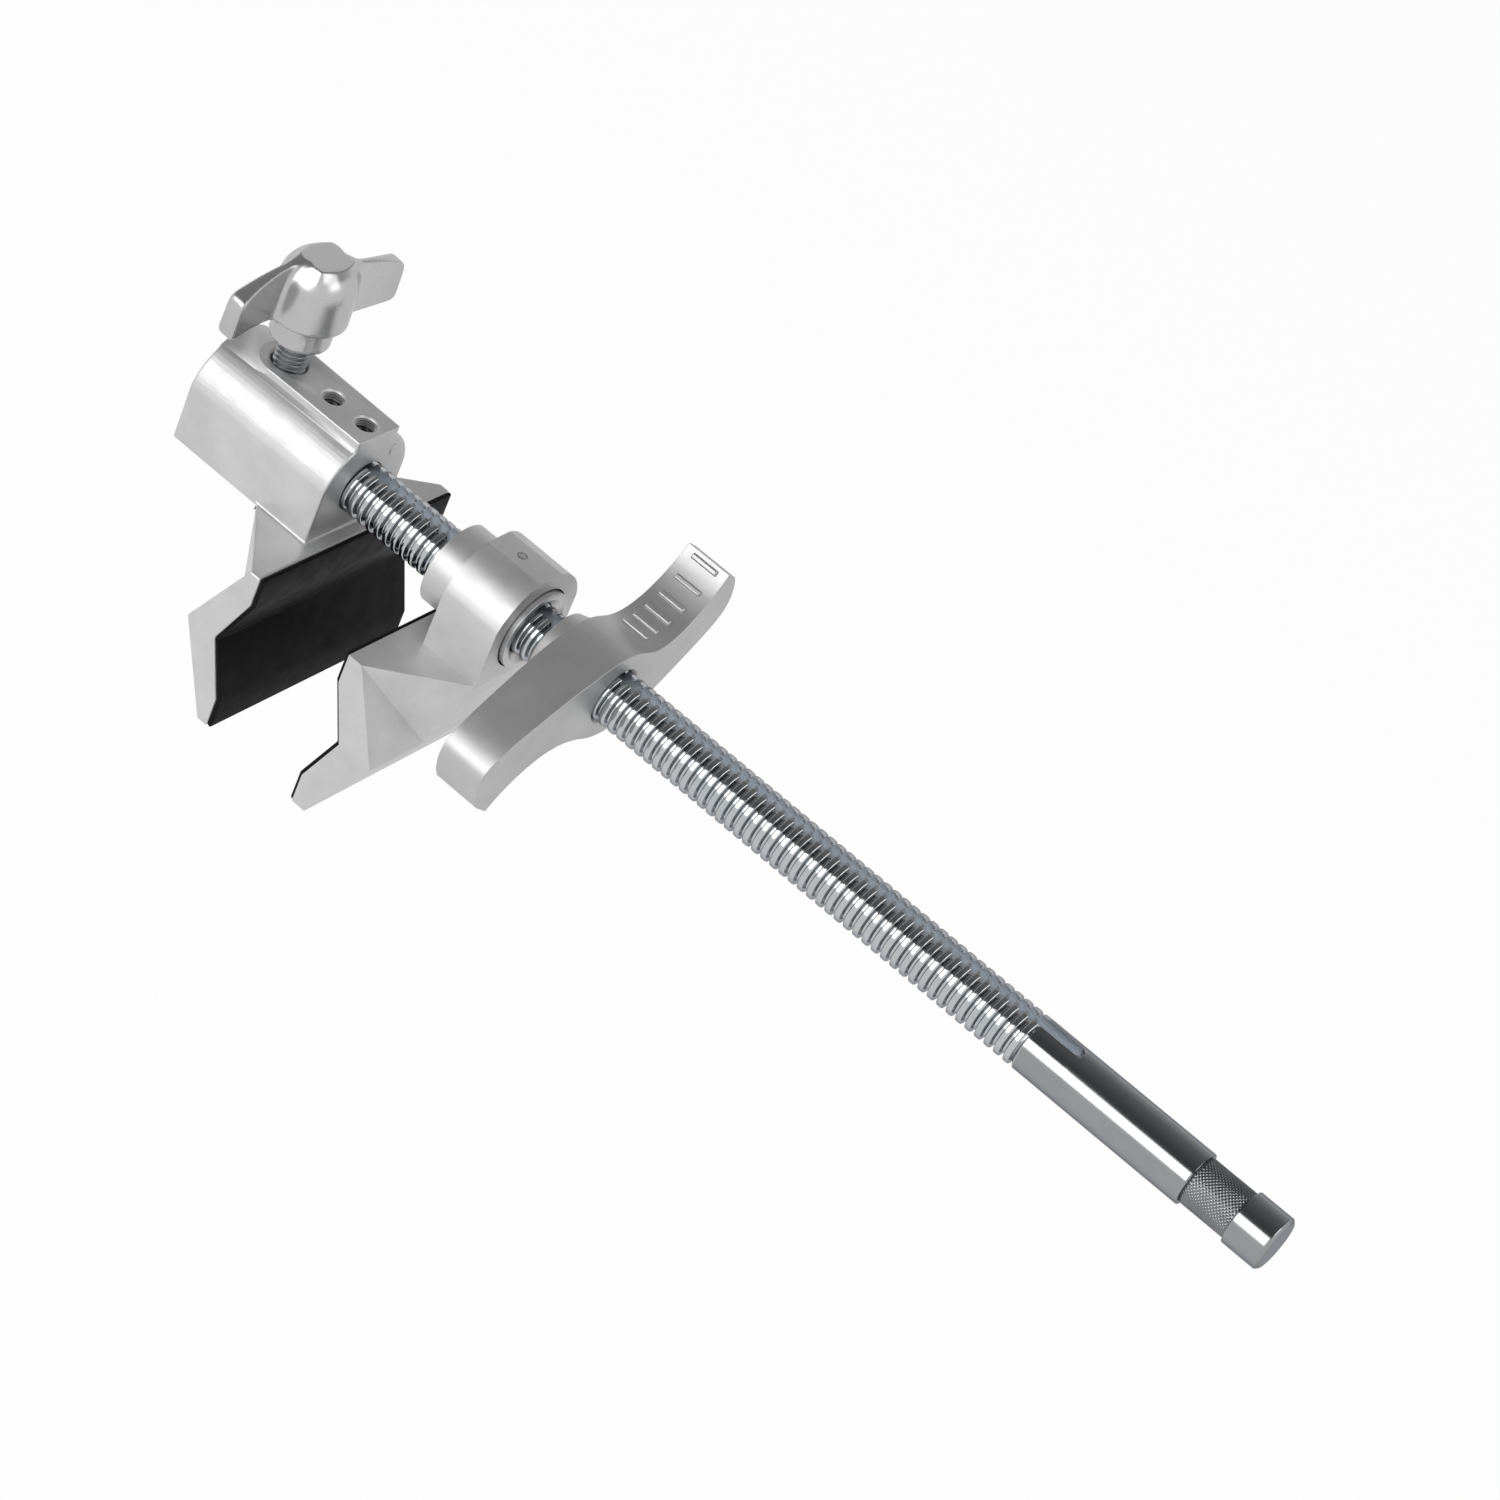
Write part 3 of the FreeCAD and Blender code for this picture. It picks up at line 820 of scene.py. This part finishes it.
def moving_rule(p, inner):
    off_axis = math.hypot(p.y, p.z)
    in_counterbore = off_axis < COUNTERBORE_ZONE_R and p.x > COUNTERBORE_X
    at_pin = abs(p.y) < PIN_ZONE_HALF and p.z > PIN_ZONE_LOW_Z
    if in_counterbore or off_axis < BORE_ZONE_R or at_pin:
        return MACHINED_EDGE
    if inner:
        return MOVING_COVE
    return PLATE_EDGE if p.z < PLATE_TOP_Z else MOVING_EDGE


def nut_rule(p, inner):
    return NUT_BORE_EDGE if math.hypot(p.y, p.z) < NUT_BORE_ZONE_R else NUT_EDGE


rounded("fixed_jaw", fixed_rule, clamp=False)
rounded("moving_jaw", moving_rule)
rounded("wing_nut", nut_rule)
rounded("fixed_jaw_pad", lambda p, inner: PAD_EDGE)
rounded("moving_jaw_pad", lambda p, inner: PAD_EDGE)
rounded("thrust_ring", lambda p, inner: MACHINED_EDGE)


# Camera at the photo's viewing angle, from a fit of the rod, pin and jaw corners
CAM_ROWS = ((0.734, 0.586, 0.342), (0.606, -0.338, -0.720), (-0.306, 0.736, -0.603))
CAM_T = (129.11, 121.67, 1103.94)
FOCAL_PX = 4500.0
IMAGE_PX = 1500.0
SENSOR_MM = 36.0
CAM_CLIP = (0.05, 20)


def make_camera():
    rows = [Vector(r) for r in CAM_ROWS]
    z = rows[2].normalized()
    x = (rows[0] - z * rows[0].dot(z)).normalized()
    y = z.cross(x)
    rot = Matrix((x, y, z))
    centre = -(rot.transposed() @ Vector(CAM_T)) + Vector((-COLLAR_X, 0, 0))
    data = bpy.data.cameras.new("camera")
    data.sensor_width = SENSOR_MM
    data.lens = FOCAL_PX / IMAGE_PX * data.sensor_width
    cam = bpy.data.objects.new("camera", data)
    bpy.context.scene.collection.objects.link(cam)
    m = Matrix((x, -y, -z)).transposed().to_4x4()
    m.translation = centre * MM
    cam.matrix_world = m
    data.clip_start, data.clip_end = CAM_CLIP
    bpy.context.scene.camera = cam


make_camera()


# Studio: white surroundings, pale floor well below, soft lamps
def softbox(name, at, to, size, radiance):
    data = bpy.data.lights.new(name, "AREA")
    data.shape = "RECTANGLE"
    data.size, data.size_y = size
    data.energy = radiance * math.pi * size[0] * size[1]
    ob = bpy.data.objects.new(name, data)
    bpy.context.scene.collection.objects.link(ob)
    ob.location = at
    ob.rotation_mode = "QUATERNION"
    ob.rotation_quaternion = (Vector(to) - Vector(at)).to_track_quat("-Z", "Y")


# Camera, glossy and transmission rays: what sees the plain white background
def background_rays(nt):
    lp = add(nt, "ShaderNodeLightPath")
    total = lp.outputs["Is Camera Ray"]
    for name in ("Is Glossy Ray", "Is Transmission Ray"):
        m = add(nt, "ShaderNodeMath", operation="MAXIMUM")
        nt.links.new(total, m.inputs[0])
        nt.links.new(lp.outputs[name], m.inputs[1])
        total = m.outputs[0]
    return total


WORLD_LIGHT = 0.5


def make_world():
    w = bpy.data.worlds.new("studio")
    bpy.context.scene.world = w
    w.use_nodes = True
    nt = w.node_tree
    bg = nt.nodes["Background"]
    seen = add(nt, "ShaderNodeBackground")
    seen.inputs["Color"].default_value = (1, 1, 1, 1)
    seen.inputs["Strength"].default_value = 1.0
    bg.inputs["Color"].default_value = (1, 1, 1, 1)
    bg.inputs["Strength"].default_value = WORLD_LIGHT
    mix = add(nt, "ShaderNodeMixShader")
    nt.links.new(background_rays(nt), mix.inputs[0])
    nt.links.new(bg.outputs[0], mix.inputs[1])
    nt.links.new(seen.outputs[0], mix.inputs[2])
    nt.links.new(mix.outputs[0], nt.nodes["World Output"].inputs["Surface"])


# The floor is plain white to seen rays but for the share that still takes the object's shadow
FLOOR_AT = (-0.17, 0, -0.30)
FLOOR_HALF = 3.0
FLOOR_TONE = (0.95, 0.95, 0.95, 1)
FLOOR_GLOW = 0.95


def make_floor():
    bm = bmesh.new()
    bmesh.ops.create_grid(bm, x_segments=8, y_segments=8, size=FLOOR_HALF)
    me = bpy.data.meshes.new("floor")
    bm.to_mesh(me)
    bm.free()
    ob = bpy.data.objects.new("floor", me)
    bpy.context.scene.collection.objects.link(ob)
    ob.location = FLOOR_AT
    m, nt, bsdf = new_material("floor_white")
    bsdf.inputs["Base Color"].default_value = FLOOR_TONE
    bsdf.inputs["Roughness"].default_value = 0.9
    bsdf.inputs["Specular IOR Level"].default_value = 0.0
    em = add(nt, "ShaderNodeEmission")
    em.inputs["Strength"].default_value = 1.0
    share = add(nt, "ShaderNodeMath", operation="MULTIPLY")
    share.inputs[1].default_value = FLOOR_GLOW
    nt.links.new(background_rays(nt), share.inputs[0])
    mix = add(nt, "ShaderNodeMixShader")
    nt.links.new(share.outputs[0], mix.inputs[0])
    nt.links.new(bsdf.outputs[0], mix.inputs[1])
    nt.links.new(em.outputs[0], mix.inputs[2])
    nt.links.new(mix.outputs[0], nt.nodes["Material Output"].inputs["Surface"])
    me.materials.append(m)


# Dark studio ceiling that only reflections show. It starts over the front softbox and turns lighter
# towards the back; shades are pairs of a place along Y and a strength there
CEILING_Z = 0.92
CEILING_X = (-1.9, 0.9)
CEILING_SHADE = ((-0.86, 0.10), (-0.33, 0.12), (0.18, 0.20), (0.64, 0.28), (1.42, 0.50), (3.40, 0.75))


def make_ceiling():
    y0, y1 = CEILING_SHADE[0][0], CEILING_SHADE[-1][0]
    corners = [(CEILING_X[0], y0), (CEILING_X[1], y0), (CEILING_X[1], y1), (CEILING_X[0], y1)]
    me = bpy.data.meshes.new("ceiling")
    me.from_pydata([(x, y, CEILING_Z) for x, y in corners], [], [(0, 1, 2, 3)])
    ob = bpy.data.objects.new("ceiling", me)
    bpy.context.scene.collection.objects.link(ob)
    m, nt, bsdf = new_material("ceiling_grey")
    nt.nodes.remove(bsdf)
    place = add(nt, "ShaderNodeMapRange")
    place.inputs["From Min"].default_value = y0
    place.inputs["From Max"].default_value = y1
    nt.links.new(object_axes(nt)["Y"], place.inputs["Value"])
    grey = ramp(nt, place.outputs["Result"], [((y - y0) / (y1 - y0), g) for y, g in CEILING_SHADE])
    em = add(nt, "ShaderNodeEmission")
    nt.links.new(grey, em.inputs["Color"])
    nt.links.new(em.outputs[0], nt.nodes["Material Output"].inputs["Surface"])
    me.materials.append(m)
    ob.visible_camera = False
    ob.visible_diffuse = False
    ob.visible_shadow = False
    ob.visible_transmission = False


make_world()
make_floor()
softbox("front_box", at=(-0.62, -0.94, 0.52), to=(-0.62, 0, 0), size=(1.1, 0.66), radiance=2.9)
softbox("right_box", at=(0.545, -0.03, 0.70), to=(-0.345, 0, 0.04), size=(0.62, 0.62), radiance=1.7)
make_ceiling()

bpy.context.scene.view_settings.view_transform = "Standard"
